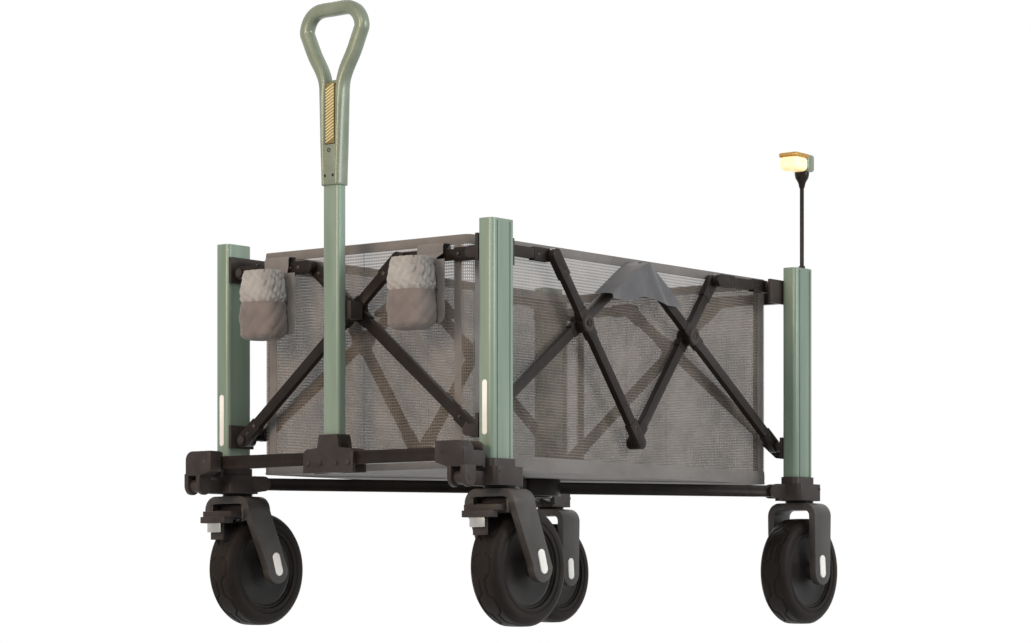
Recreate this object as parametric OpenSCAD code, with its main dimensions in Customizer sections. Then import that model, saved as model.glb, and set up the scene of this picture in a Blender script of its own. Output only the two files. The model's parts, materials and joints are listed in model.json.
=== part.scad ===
// Folding camp wagon. Millimetres, +Z up, handle end at -X, floor at z = 0.
// Four upright posts stand on corner blocks, and a diagonal base arm ties each
// block to one central hub. Scissor bars join the posts: one crossing at each
// end, two crossings along each side. Pulling the hub up draws the posts together.

/* [Frame] */
// Distance between front and rear post centres
post_pitch_x = 822; // [640:2:1000]
// Distance between left and right post centres
post_pitch_y = 530; // [430:2:640]
// Post section along X
post_depth = 54; // [44:1:64]
// Post section along Y
post_width = 28; // [22:1:34]
// Wall of the post extrusion
post_wall = 2.5; // [1.5:0.1:4]
// Length of the post extrusion, cap left out
post_length = 361; // [300:1:440]
// Height of the post's foot above the floor
post_foot_z = 236; // [220:1:260]

/* [Wheels] */
// Wheel diameter
wheel_d = 178; // [140:1:190]
// Wheel width
wheel_w = 52; // [40:1:60]
// Distance from the swivel axis to the castor's axle
castor_trail = 44; // [30:1:50]
// Thickness of a fork arm
fork_arm = 12; // [8:0.5:14]
// Gap between the wheel and a fork arm
wheel_gap = 9; // [5:0.5:12]
// Axle radius
axle_r = 6; // [5:0.25:8]

/* [Scissor bars] */
// Bar height in its own plane
bar_h = 16; // [12:0.5:18]
// Thickness of one layer of bars
bar_t = 12; // [9:0.5:12]
// Gap between the two layers
layer_gap = 1; // [0.6:0.1:2]
// Radius of a hinge pin
pin_r = 4; // [3:0.25:5]
// Radial clearance of a hinge pin
pin_fit = 0.05; // [0.02:0.01:0.1]
// Radius of the disc at a crossing
cross_r = 15; // [12:0.5:18]
// Height of the crossing at each end
end_cross_z = 479; // [450:1:500]
// Height of the upper end pivots
end_top_z = 554; // [530:1:570]
// Height of the upper side pivots
side_top_z = 568; // [540:1:580]
// Height of the lower side pivots at the posts
side_low_z = 300; // [290:1:320]
// Height of the lower centre pivot on each side
side_centre_z = 290; // [275:1:310]

/* [Base] */
// Radius of the base hub
hub_r = 58; // [52:1:60]
// Side of the square base arm
arm_w = 19; // [14:0.5:21]
// Height of the base arms' pivots
arm_z = 224; // [222:0.5:226]

/* [Tub] */
// Gap between the tub and the bars outside it
tub_gap = 4; // [3:0.5:6]
// Thickness of the tub's cloth
tub_wall = 2.5; // [1.5:0.1:4]
// Height of the tub's rim above the floor
tub_rim_z = 585; // [560:1:595]
// Height of the hem round the rim
hem_h = 13; // [8:1:20]

/* [Handle] */
// Height of the top of the grip
handle_top_z = 945; // [880:1:1050]
// Width of the handle tube along Y
tube_w = 32; // [26:0.5:36]
// Depth of the handle tube along X
tube_d = 19; // [16:0.5:21]
// Height of the crossbar
yoke_z = 254; // [250:1:258]
// Distance from the middle to a crossbar hinge
yoke_hinge_y = 36; // [34:0.5:38]
// Radius of the grip's round bar
loop_r = 10.5; // [8:0.25:12]

/* [Lamp] */
// Radius of the lamp's stem
stem_r = 3.5; // [2.5:0.25:4.5]
// Length of the stem above the post
stem_length = 168; // [120:1:220]

/* [Hidden] */
$fn = 48;
QUADS = [
    ["front_right", -1, -1],
    ["front_left", -1, 1],
    ["rear_right", 1, -1],
    ["rear_left", 1, 1]
];

// Colours
GREEN = [0.57, 0.64, 0.56];
CHARCOAL = [0.20, 0.18, 0.17];
RUBBER = [0.13, 0.12, 0.11];
CLOTH = [0.47, 0.43, 0.39];
CREAM = [0.86, 0.82, 0.68];
GLOW = [1.0, 0.93, 0.78];

// Posts
post_x = post_pitch_x / 2;
post_y = post_pitch_y / 2;
post_top_z = post_foot_z + post_length;
cap_h = 4;
post_round = 7;
post_inner_y = post_y - post_width / 2;
groove_w = 3;
groove_d = 1.2;

// Layers of bars, counted outwards from the tub: 0 is the inner one
layer_pitch = bar_t + layer_gap;
bars_depth = bar_t + layer_pitch;
post_clear = 14;
side_plane = post_inner_y - post_clear - bars_depth;
end_plane = post_x - 3;
function side_layer(n) = side_plane + n * layer_pitch;
function end_layer(n) = end_plane + n * layer_pitch;

// Pivots of the scissors, given for the +X +Y corner
bar_end_r = 10;
socket_len = 40;
end_low_y = post_y - 37.6;
end_low_z = 291;
end_cross_angle = atan2(end_cross_z - end_low_z, end_low_y);
end_bar_len = (end_top_z - end_low_z) / sin(end_cross_angle);
end_cross_len = end_low_y / cos(end_cross_angle);
end_top_y = end_bar_len * cos(end_cross_angle) - end_low_y;
end_link_y = post_y - 33;
end_link_len = end_link_y - end_top_y;
side_low_x = post_x - 18;
side_link_x = post_x - 50;
side_top_x = side_link_x - 137.3;
side_link_len = side_link_x - side_top_x;
long_rise = side_top_z - side_low_z;
long_len = norm([side_low_x, long_rise]);
long_angle = atan2(long_rise, side_low_x);
steep_rise = side_top_z - side_centre_z;
steep_len = norm([side_top_x, steep_rise]);
steep_angle = atan2(steep_rise, side_top_x);
side_cross_x = steep_rise / (long_rise / side_low_x + steep_rise / side_top_x);
long_cross = (side_low_x - side_cross_x) / cos(long_angle);
steep_cross = side_cross_x / cos(steep_angle);
side_cross_z = side_centre_z + side_cross_x * tan(steep_angle);

// Base
block_low_z = 208;
arm_out = [post_x - 38, post_y - 24];
arm_angle = atan2(arm_out.y, arm_out.x);
arm_in_r = 44;
arm_len = norm(arm_out) - arm_in_r;
arm_side_gap = 0.4;
ear_t = 6;

// Wheels
axle_z = wheel_d / 2;
castor_x = -(post_x - 9);
rear_axle_x = post_x + 6;
fork_gap = wheel_w + 2 * wheel_gap;
fork_width = fork_gap + 2 * fork_arm;
crown_low_z = 188;
crown_top_z = 204;
stem_pin_r = 7;

// Tub
tub_x = end_plane - tub_gap;
tub_y = side_plane - tub_gap;
tub_floor_z = 237;
tub_round = 12;

// Handle
ear_x = -(post_x + 81);
ear_z = 218;
yoke_x = -(post_x + 59);
yoke_end_y = post_y - 5;
yoke_link_len = yoke_end_y - yoke_hinge_y;
yoke_h = 20;
yoke_t = tube_d - 0.8;
tube_low_z = 268;
sleeve_low_z = handle_top_z - 278;
sleeve_top_z = handle_top_z - 112;
tube_top_z = sleeve_low_z + 58;
sleeve_d = 27;
clip_w = 48;
clip_h = 27;

// Outline with round corners, for extrusions
module rounded(size_x, size_y, r) {
    square([size_x - 2 * r, size_y], center = true);
    square([size_x, size_y - 2 * r], center = true);
    for (sx = [-1, 1], sy = [-1, 1])
        translate([sx * (size_x / 2 - r), sy * (size_y / 2 - r)]) circle(r = r);
}

// Turns what is drawn for the +X +Y corner into another corner
module corner(sx, sy) {
    mirror([sx < 0 ? 1 : 0, 0, 0]) mirror([0, sy < 0 ? 1 : 0, 0]) children();
}

// Cylinder along +Y, from y to y + h
module y_rod(x, y, z, r, h) {
    translate([x, y, z]) rotate([-90, 0, 0]) cylinder(r = r, h = h);
}

// Cylinder along +X, from x to x + h
module x_rod(x, y, z, r, h) {
    translate([x, y, z]) rotate([0, 90, 0]) cylinder(r = r, h = h);
}

// A flat bar along +X with its pivots on Z, from z = 0 to bar_t.
// bores lists the pivots that a pin passes through, discs the crossings.
module flat_bar(length, bores, discs = []) {
    difference() {
        union() {
            translate([0, -bar_h / 2, 0.8]) cube([length, bar_h, bar_t - 1.6]);
            for (at = [0, length]) translate([at, 0, 0]) cylinder(r = bar_end_r, h = bar_t);
            translate([0, -bar_end_r, 0]) cube([socket_len, 2 * bar_end_r, bar_t]);
            translate([length - socket_len, -bar_end_r, 0])
                cube([socket_len, 2 * bar_end_r, bar_t]);
            for (at = discs) translate([at, 0, 0]) cylinder(r = cross_r, h = bar_t);
            for (at = discs)
                translate([at - 1.7 * cross_r, -bar_end_r, 0])
                    cube([3.4 * cross_r, 2 * bar_end_r, bar_t]);
        }
        for (at = bores) translate([at, 0, -1]) cylinder(r = pin_r + pin_fit, h = bar_t + 2);
        for (at = [socket_len - 9, length - socket_len + 9], z = [-0.2, bar_t - 0.8])
            translate([at, 0, z]) cylinder(r = 2.6, h = 1);
    }
}

// Places a flat bar in a side plane of the +X +Y corner: from [x, z], towards -X
module in_side(x, z, angle, layer) {
    translate([x, side_layer(layer) + bar_t, z])
        rotate([90, 0, 0]) mirror([1, 0, 0]) rotate([0, 0, angle]) children();
}

// Places a flat bar in an end plane of the +X +Y corner: from [y, z], towards -Y
module in_end(y, z, angle, layer) {
    translate([end_layer(layer), y, z])
        rotate([90, 0, 90]) mirror([1, 0, 0]) rotate([0, 0, angle]) children();
}

module base_hub() {
    color(CHARCOAL) difference() {
        union() {
            translate([0, 0, arm_z - 14]) cylinder(r = hub_r, h = 26);
            translate([0, 0, arm_z - 17]) cylinder(r = hub_r - 14, h = 3);
        }
        for (q = QUADS) corner(q[1], q[2]) rotate([0, 0, arm_angle]) {
            translate([arm_in_r - 14, -arm_w / 2 - arm_side_gap, arm_z - 20])
                cube([hub_r, arm_w + 2 * arm_side_gap, 40]);
        }
    }
    // hinge pins across the four slots
    color(CHARCOAL) for (q = QUADS) corner(q[1], q[2]) rotate([0, 0, arm_angle])
        y_rod(arm_in_r, -arm_w / 2 - arm_side_gap, arm_z, pin_r, arm_w + 2 * arm_side_gap);
}

module tub() {
    color(CLOTH) difference() {
        union() {
            translate([0, 0, tub_floor_z]) linear_extrude(tub_rim_z - tub_floor_z)
                rounded(2 * tub_x, 2 * tub_y, tub_round);
            translate([0, 0, tub_rim_z - hem_h]) linear_extrude(hem_h)
                rounded(2 * tub_x + 1.6, 2 * tub_y + 1.6, tub_round + 0.8);
        }
        translate([0, 0, tub_floor_z + tub_wall + 1]) linear_extrude(tub_rim_z)
            rounded(2 * (tub_x - tub_wall), 2 * (tub_y - tub_wall), tub_round - tub_wall);
    }
}

module base_arm(sx, sy) {
    end_r = arm_w / 2;
    color(CHARCOAL) corner(sx, sy) rotate([0, 0, arm_angle]) difference() {
        union() {
            translate([arm_in_r, -arm_w / 2, arm_z - arm_w / 2]) cube([arm_len, arm_w, arm_w]);
            for (at = [arm_in_r, arm_in_r + arm_len])
                y_rod(at, -arm_w / 2, arm_z, end_r, arm_w);
        }
        for (at = [arm_in_r, arm_in_r + arm_len])
            y_rod(at, -arm_w, arm_z, pin_r + pin_fit, 2 * arm_w);
        translate([arm_in_r + 30, -arm_w / 2 + 2, arm_z - arm_w / 2 - 1])
            cube([arm_len - 60, arm_w - 4, arm_w - 2]);
    }
}

module post(sx, sy) {
    color(GREEN) corner(sx, sy) translate([post_x, post_y, 0]) {
        translate([0, 0, post_foot_z]) linear_extrude(post_length) difference() {
            rounded(post_depth, post_width, post_round);
            rounded(post_depth - 2 * post_wall, post_width - 2 * post_wall,
                post_round - post_wall);
            for (side = [-1, 1])
                translate([side * (post_depth / 2 - 12) - groove_w / 2,
                    post_width / 2 - groove_d])
                    square([groove_w, groove_d + 1]);
        }
        translate([0, 0, post_top_z]) difference() {
            union() {
                linear_extrude(cap_h) rounded(post_depth, post_width, post_round);
                translate([0, 0, -10]) linear_extrude(10)
                    rounded(post_depth - 2 * post_wall - 0.6, post_width - 2 * post_wall - 0.6,
                        post_round - post_wall);
            }
            if (sx > 0 && sy < 0)
                translate([lamp_x() - post_x, 0, -8]) cylinder(r = stem_r + pin_fit, h = 20);
        }
    }
}
function lamp_x() = post_x + 14;

// Boss on the post's inner face with a pin through one layer of side bars
module side_pivot(x, z, layer) {
    boss_low = side_layer(layer) + bar_t + layer_gap;
    y_rod(x, boss_low, z, bar_end_r - 1, post_inner_y - boss_low);
    y_rod(x, side_layer(layer) - 2.4, z, pin_r, boss_low - side_layer(layer) + 2.4);
    y_rod(x, side_layer(layer) - 2.4, z, pin_r + 2.5, 2);
}

// Ear beside one layer of end bars, with a pin through that layer
module end_pivot(y, z, layer) {
    other = end_layer(1 - layer);
    translate([other, y, z - bar_end_r + 1]) cube([bar_t, post_inner_y - y, 2 * bar_end_r - 2]);
    x_rod(other, y, z, bar_end_r - 1, bar_t);
    pin_low = layer == 0 ? end_layer(0) - 2 : end_layer(0) + 1;
    x_rod(pin_low, y, z, pin_r, bars_depth + 1);
    head = layer == 0 ? end_layer(0) - 2 : end_layer(1) + bar_t + 0.4;
    x_rod(head, y, z, pin_r + 2.5, 1.6);
}

module corner_block(sx, sy) {
    side = sx < 0 ? 0 : 1;
    end = sy < 0 ? 0 : 1;
    color(CHARCOAL) corner(sx, sy) {
        difference() {
            union() {
                translate([post_x, post_y, block_low_z]) linear_extrude(post_foot_z - block_low_z)
                    rounded(68, 56, 9);
                translate([post_x, post_y, post_foot_z]) linear_extrude(12) difference() {
                    rounded(post_depth + 7, post_width + 7, post_round + 3.5);
                    rounded(post_depth + 0.02, post_width + 0.02, post_round);
                }
                // socket for the base arm
                translate([arm_out.x, arm_out.y, 0]) rotate([0, 0, arm_angle])
                    for (s = [-1, 1]) {
                        low = s > 0 ? arm_w / 2 + arm_side_gap : -arm_w / 2 - arm_side_gap - ear_t;
                        y_rod(0, low, arm_z, 12, ear_t);
                        translate([0, low, arm_z - 12]) cube([22, ear_t, 24]);
                    }
                if (sx < 0) front_tongue();
            }
            // room for the arm's round end
            translate([arm_out.x, arm_out.y, 0]) rotate([0, 0, arm_angle])
                translate([-60, -arm_w / 2 - arm_side_gap, block_low_z - 1])
                    cube([60 + arm_w / 2 + 2, arm_w + 2 * arm_side_gap, 60]);
            if (sx < 0) {
                translate([-castor_x, post_y, block_low_z - 1])
                    cylinder(r = stem_pin_r + pin_fit, h = 19);
                if (sy > 0) y_rod(-ear_x, post_y - 30, ear_z, pin_r + pin_fit, 60);
            }
        }
        translate([arm_out.x, arm_out.y, 0]) rotate([0, 0, arm_angle])
            y_rod(0, -arm_w / 2 - arm_side_gap - 1, arm_z, pin_r, arm_w + 2 * arm_side_gap + 2);
        if (sx < 0 && sy < 0) y_rod(-ear_x, post_y - 17, ear_z, pin_r, 34);
        // lower bracket
        translate([post_x - 26, post_inner_y - 5, 279]) cube([52, 5, 36]);
        side_pivot(side_low_x, side_low_z, side);
        end_pivot(end_low_y, end_low_z, end);
        // upper bracket
        translate([post_x - 62, post_inner_y - 5, end_top_z - 14])
            cube([88, 5, side_top_z - end_top_z + 26]);
        side_pivot(side_link_x, side_top_z, side);
        end_pivot(end_link_y, end_top_z, end);
    }
}

// Tongue in front of a front block, which carries the yoke
module front_tongue() {
    tongue_w = 14;
    y_rod(-ear_x, post_y - tongue_w / 2, ear_z, 10, tongue_w);
    translate([post_x + 20, post_y - tongue_w / 2, ear_z - 10])
        cube([-ear_x - post_x - 20, tongue_w, 20]);
}

// Fork: crown over the wheel and two arms down to the axle at x = reach
module fork(reach) {
    end_r = 23;
    crown_x = 25;
    for (s = [-1, 1]) {
        low = s > 0 ? fork_gap / 2 : -fork_width / 2;
        translate([0, low + fork_arm, 0]) rotate([90, 0, 0]) linear_extrude(fork_arm) union() {
            translate([reach, axle_z]) circle(r = end_r);
            polygon([
                [-crown_x, crown_low_z], [crown_x, crown_low_z],
                [reach + end_r * cos(12), axle_z + end_r * sin(12)],
                [reach - end_r * cos(-20), axle_z + end_r * sin(-20)]
            ]);
            translate([-crown_x, crown_low_z - 1])
                square([2 * crown_x, crown_top_z - crown_low_z + 1 - 8]);
        }
        // oval axle cap
        cap_y = s > 0 ? fork_width / 2 : -fork_width / 2 - 3;
        translate([reach, cap_y + 3, axle_z + 11]) rotate([90, 0, 0]) linear_extrude(3) union() {
            square([18, 24], center = true);
            for (e = [-12, 12]) translate([0, e]) circle(r = 9);
        }
    }
    translate([-crown_x, -fork_width / 2 + 8, crown_low_z])
        cube([2 * crown_x, fork_width - 16, crown_top_z - crown_low_z]);
    for (s = [-1, 1])
        translate([-crown_x, s * (fork_width / 2 - 8), crown_top_z - 8])
            rotate([0, 90, 0]) cylinder(r = 8, h = 2 * crown_x);
    y_rod(reach, -fork_gap / 2 - 1, axle_z, axle_r, fork_gap + 2);
}

module castor_fork(sy) {
    pivot = brake_pivot();
    color(CHARCOAL) corner(-1, sy) translate([-castor_x, post_y, 0]) mirror([1, 0, 0]) {
        fork(castor_trail);
        translate([0, 0, crown_top_z]) cylinder(r = 24, h = block_low_z - crown_top_z - 0.3);
        translate([0, 0, crown_top_z]) cylinder(r = stem_pin_r, h = 20);
        // brake hinge: two lugs under the crown and the pin between them
        for (s = [-1, 1]) {
            low = s > 0 ? 30.5 : -fork_gap / 2;
            y_rod(pivot.x, low, pivot.y, 7, fork_gap / 2 - 30.5);
            translate([pivot.x - 7, low, pivot.y]) cube([14, fork_gap / 2 - 30.5, 14]);
        }
        y_rod(pivot.x, -31, pivot.y, 3, 62);
    }
}
function brake_pivot() = [-18, 175];

// Two-step pedal in front of a castor's wheel, hinged under the crown
module brake_pedal(sy) {
    pivot = brake_pivot();
    color(CHARCOAL) corner(-1, sy) translate([-castor_x, post_y, 0]) mirror([1, 0, 0])
        difference() {
            union() {
                y_rod(pivot.x, -30, pivot.y, 7.5, 60);
                translate([pivot.x - 30, -30, pivot.y - 4]) cube([30, 60, 9]);
                translate([pivot.x - 40, -26, pivot.y - 14]) cube([20, 52, 10]);
                translate([pivot.x - 30, -13, pivot.y - 40]) cube([4, 26, 28]);
            }
            y_rod(pivot.x, -32, pivot.y, 3 + pin_fit, 64);
        }
}

module rear_fork(sy) {
    color(CHARCOAL) corner(1, sy) translate([rear_axle_x, post_y, 0]) {
        fork(0);
        translate([0, 0, crown_top_z]) cylinder(r = 24, h = block_low_z - crown_top_z);
    }
}

// Rubber tyre on a rim with a raised hub
module wheel(sx, sy) {
    axle_x = sx < 0 ? -castor_x - castor_trail : rear_axle_x;
    rim_r = wheel_d / 2 - 22;
    shoulder = 9;
    color(RUBBER) corner(sx, sy) translate([axle_x, post_y, axle_z]) rotate([90, 0, 0]) {
        rotate_extrude($fn = 96) polygon([
            [rim_r, -wheel_w / 2 + 4], [wheel_d / 2 - shoulder, -wheel_w / 2],
            [wheel_d / 2 - 2, -wheel_w / 2 + shoulder], [wheel_d / 2, 0],
            [wheel_d / 2 - 2, wheel_w / 2 - shoulder],
            [wheel_d / 2 - shoulder, wheel_w / 2], [rim_r, wheel_w / 2 - 4]
        ]);
        rotate_extrude($fn = 96) polygon([
            [axle_r + pin_fit, -wheel_w / 2 - wheel_gap + 2], [16, -wheel_w / 2 - wheel_gap + 2],
            [20, -wheel_w / 2 + 8], [rim_r - 8, -wheel_w / 2 + 8], [rim_r, -wheel_w / 2 + 2],
            [rim_r, wheel_w / 2 - 2], [rim_r - 8, wheel_w / 2 - 8], [20, wheel_w / 2 - 8],
            [16, wheel_w / 2 + wheel_gap - 2], [axle_r + pin_fit, wheel_w / 2 + wheel_gap - 2]
        ]);
    }
}

module long_bar(sx, sy) {
    layer = sx < 0 ? 0 : 1;
    color(CHARCOAL) corner(sx, sy) {
        in_side(side_low_x, side_low_z, long_angle, layer)
            flat_bar(long_len, [0], [long_cross]);
        // pin at the crossing, through the steep bar
        far = side_layer(1 - layer) + (layer == 0 ? bar_t + 2 : -2);
        near = side_layer(layer) + bar_t / 2;
        y_rod(side_cross_x, min(far, near), side_cross_z, pin_r, abs(far - near));
    }
}

module steep_bar(sx, sy) {
    layer = sx < 0 ? 1 : 0;
    color(CHARCOAL) corner(sx, sy)
        in_side(side_top_x, side_top_z, -steep_angle, layer)
            flat_bar(steep_len, [steep_len - steep_cross], [steep_len - steep_cross]);
}

module side_link(sx, sy) {
    layer = sx < 0 ? 0 : 1;
    color(CHARCOAL) corner(sx, sy)
        in_side(side_link_x, side_top_z, 0, layer) flat_bar(side_link_len, [0]);
}

module end_bar(sx, sy) {
    layer = sy < 0 ? 0 : 1;
    color(CHARCOAL) corner(sx, sy) {
        in_end(end_low_y, end_low_z, end_cross_angle, layer)
            flat_bar(end_bar_len, [0], [end_cross_len]);
        // stud that carries the handle clip
        if (sx < 0 && sy > 0)
            x_rod(end_layer(1) + bar_t - 1, 0, end_cross_z, pin_r, 12);
    }
}

module end_link(sx, sy) {
    layer = sy < 0 ? 0 : 1;
    color(CHARCOAL) corner(sx, sy)
        in_end(end_link_y, end_top_z, 0, layer) flat_bar(end_link_len, [0]);
}

// Fork-ended lug between a front block and the crossbar
module yoke_lug(sy) {
    ear_gap = 8.5;
    ear_thick = 8;
    ear_r = -ear_x;
    color(CHARCOAL) corner(-1, sy) {
        difference() {
            union() {
                for (s = [-1, 1]) {
                    low = s > 0 ? post_y + ear_gap : post_y - ear_gap - ear_thick;
                    y_rod(ear_r, low, ear_z, 14, ear_thick);
                    translate([ear_r - 14, low, ear_z]) cube([28, ear_thick, 20]);
                }
                translate([-yoke_x - 16, post_y - 18, ear_z + 14])
                    cube([ear_r + 14 + yoke_x + 16, 32, 40]);
            }
            // slot for the end of the crossbar
            translate([-yoke_x - yoke_t / 2 - 0.4, post_y - 40, yoke_z - 13])
                cube([yoke_t + 0.8, 60, 50]);
            if (sy < 0) y_rod(ear_r, post_y - 30, ear_z, pin_r + pin_fit, 60);
        }
        if (sy > 0) y_rod(ear_r, post_y - 16, ear_z, pin_r, 32);
        x_rod(-yoke_x - yoke_t / 2 - 1, yoke_end_y, yoke_z, pin_r, yoke_t + 2);
    }
}

// Half of the crossbar
module yoke_link(sy) {
    end_r = yoke_h / 2;
    color(CHARCOAL) corner(-1, sy) difference() {
        union() {
            translate([-yoke_x - yoke_t / 2, yoke_hinge_y, yoke_z - end_r])
                cube([yoke_t, yoke_link_len, yoke_h]);
            for (at = [yoke_hinge_y, yoke_end_y])
                x_rod(-yoke_x - yoke_t / 2, at, yoke_z, end_r, yoke_t);
        }
        for (at = [yoke_hinge_y, yoke_end_y])
            x_rod(-yoke_x - yoke_t, at, yoke_z, pin_r + pin_fit, 2 * yoke_t);
    }
}

// Bracket that joins the crossbar's halves to the foot of the handle tube
module handle_bracket() {
    plate = 6;
    plate_x = -yoke_x + yoke_t / 2 + 0.4;
    color(CHARCOAL) corner(-1, 1) {
        for (x = [plate_x, -yoke_x - yoke_t / 2 - 0.4 - plate]) difference() {
            translate([x, 0, 0]) rotate([90, 0, 90]) linear_extrude(plate) polygon([
                [-50, 232], [50, 232], [50, 262], [44, 268], [22, 270], [18, 290],
                [-18, 290], [-22, 270], [-44, 268], [-50, 262]
            ]);
        }
        translate([-yoke_x - yoke_t / 2 - 0.4, -13, 232])
            cube([yoke_t + 0.8, 26, tube_low_z - 232]);
        for (s = [-1, 1]) {
            x_rod(-yoke_x - yoke_t / 2 - 1, s * yoke_hinge_y, yoke_z, pin_r, yoke_t + 2);
            for (y = [16, 40]) x_rod(plate_x + plate, s * y, 247, 4.5, 1.5);
        }
        for (s = [-1, 1])
            translate([-yoke_x - 10, s > 0 ? tube_w / 2 : -tube_w / 2 - 3, tube_low_z])
                cube([20, 3, 22]);
    }
}

module handle_tube() {
    hollow = 2;
    color(GREEN) translate([yoke_x, 0, tube_low_z]) linear_extrude(tube_top_z - tube_low_z)
        difference() {
            rounded(tube_d, tube_w, 5);
            rounded(tube_d - 2 * hollow, tube_w - 2 * hollow, 3);
        }
}

// Sleeve over the tube and the closed loop above it
module grip() {
    half_low = 18;
    half_top = 24;
    bend_r = 32;
    turn = 25;
    bend_y = 23.5;
    bar_z = handle_top_z - loop_r;
    bend_z = bar_z - bend_r;
    leg_start = [bend_y + bend_r * cos(turn), bend_z - bend_r * sin(turn)];
    leg_len = (leg_start.y - sleeve_top_z + 8) / cos(turn);
    leg_r = loop_r - 0.3;
    joint_lap = 1.5;
    color(GREEN) {
        difference() {
            translate([yoke_x - sleeve_d / 2, 0, 0]) rotate([90, 0, 90]) linear_extrude(sleeve_d)
                polygon([
                    [-half_low, sleeve_low_z], [half_low, sleeve_low_z],
                    [half_low, sleeve_low_z + 60], [half_top, sleeve_top_z - 30],
                    [half_top, sleeve_top_z], [-half_top, sleeve_top_z],
                    [-half_top, sleeve_top_z - 30], [-half_low, sleeve_low_z + 60]
                ]);
            translate([yoke_x, 0, sleeve_low_z - 1]) linear_extrude(tube_top_z - sleeve_low_z + 1)
                rounded(tube_d + 0.02, tube_w + 0.02, 5);
            // recess for the ribbed insert
            translate([yoke_x - sleeve_d / 2 - 1, -9, sleeve_low_z + 62]) cube([4, 18, 92]);
        }
        translate([yoke_x, 0, 0]) {
            y_rod(0, -bend_y - joint_lap, bar_z, leg_r, 2 * (bend_y + joint_lap));
            for (s = [-1, 1]) translate([0, s * bend_y, bend_z]) rotate([90, 0, 90])
                rotate([0, 0, s > 0 ? -turn : 90])
                    rotate_extrude(angle = 90 + turn) translate([bend_r, 0]) circle(r = loop_r);
            for (s = [-1, 1])
                translate([0, s * leg_start.x, leg_start.y]) rotate([s * (180 - turn), 0, 0])
                    translate([0, 0, -joint_lap]) cylinder(r = leg_r, h = leg_len + joint_lap);
        }
    }
}

module grip_insert() {
    color(CREAM) translate([yoke_x - sleeve_d / 2, -8.8, sleeve_low_z + 62.2])
        cube([2.8, 17.6, 91.6]);
}

// Saddle behind the handle tube, on the front crossing
module handle_clip() {
    stud_x = -(end_layer(1) + bar_t);
    back = stud_x - 0.5;
    front = yoke_x + tube_d / 2 + 0.4;
    color(CHARCOAL) difference() {
        translate([front, -clip_w / 2, end_cross_z - clip_h / 2])
            cube([back - front, clip_w, clip_h]);
        x_rod(stud_x - 13, 0, end_cross_z, pin_r + pin_fit, 14);
    }
}

// Drawstring pouch that hangs from a front link
module pouch(sy) {
    pouch_y = (end_link_y + end_top_y) / 2 - 12;
    front_x = end_layer(1) + bar_t;
    color(CLOTH) corner(-1, sy) {
        translate([front_x + 34, pouch_y, 442]) linear_extrude(72) rounded(60, 78, 26);
        translate([front_x + 34, pouch_y, 514]) linear_extrude(46) rounded(54, 70, 24);
    }
}

module lamp_stem() {
    color(CHARCOAL) translate([lamp_x(), -post_y, 0]) {
        translate([0, 0, post_top_z - 4]) cylinder(r = stem_r, h = stem_length + 8);
        translate([0, 0, post_top_z + cap_h]) cylinder(r = stem_r + 2, h = 6);
        translate([0, 0, post_top_z + stem_length - 6]) cylinder(r = stem_r + 2, h = 6);
    }
}

module lamp_head() {
    head_z = post_top_z + stem_length;
    color(GLOW) difference() {
        translate([lamp_x() - 16, -post_y, head_z]) linear_extrude(30) rounded(60, 36, 12);
        translate([lamp_x(), -post_y, head_z - 1]) cylinder(r = stem_r + 0.01, h = 5.02);
    }
}

base_hub();
tub();
for (q = QUADS) {
    base_arm(q[1], q[2]);
    post(q[1], q[2]);
    corner_block(q[1], q[2]);
    wheel(q[1], q[2]);
    long_bar(q[1], q[2]);
    steep_bar(q[1], q[2]);
    side_link(q[1], q[2]);
    end_bar(q[1], q[2]);
    end_link(q[1], q[2]);
}
SIDES = [["right", -1], ["left", 1]];
for (s = SIDES) {
    castor_fork(s[1]);
    rear_fork(s[1]);
    brake_pedal(s[1]);
    yoke_lug(s[1]);
    yoke_link(s[1]);
    pouch(s[1]);
}
handle_bracket();
handle_tube();
grip();
grip_insert();
handle_clip();
lamp_stem();
lamp_head();
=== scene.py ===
"""Looks of the folding camp wagon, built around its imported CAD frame. Lengths are in metres."""

import json
from contextlib import contextmanager
from math import atan2, cos, exp, pi, radians, sin, sqrt

import bpy
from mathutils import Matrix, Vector

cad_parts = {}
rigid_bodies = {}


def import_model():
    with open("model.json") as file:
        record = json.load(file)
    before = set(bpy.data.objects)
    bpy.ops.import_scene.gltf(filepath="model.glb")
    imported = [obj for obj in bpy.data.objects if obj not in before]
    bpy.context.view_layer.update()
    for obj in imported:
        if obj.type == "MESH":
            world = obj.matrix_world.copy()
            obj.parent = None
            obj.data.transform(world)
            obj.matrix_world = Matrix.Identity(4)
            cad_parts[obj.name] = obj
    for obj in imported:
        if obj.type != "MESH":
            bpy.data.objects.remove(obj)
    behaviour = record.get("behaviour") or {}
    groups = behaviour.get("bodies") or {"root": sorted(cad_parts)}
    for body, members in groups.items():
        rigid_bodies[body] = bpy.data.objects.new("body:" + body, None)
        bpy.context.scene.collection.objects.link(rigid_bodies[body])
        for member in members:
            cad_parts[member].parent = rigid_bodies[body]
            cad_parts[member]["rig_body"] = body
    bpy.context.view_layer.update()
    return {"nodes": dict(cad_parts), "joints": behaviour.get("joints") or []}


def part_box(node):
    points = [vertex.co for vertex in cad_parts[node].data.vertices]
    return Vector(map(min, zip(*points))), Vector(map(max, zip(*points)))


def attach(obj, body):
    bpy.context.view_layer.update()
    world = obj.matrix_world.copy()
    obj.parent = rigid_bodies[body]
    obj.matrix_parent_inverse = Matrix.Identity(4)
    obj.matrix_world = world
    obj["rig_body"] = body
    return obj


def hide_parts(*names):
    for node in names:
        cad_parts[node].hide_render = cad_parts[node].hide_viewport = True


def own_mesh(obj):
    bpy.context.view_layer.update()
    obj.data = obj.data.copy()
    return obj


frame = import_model()

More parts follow.
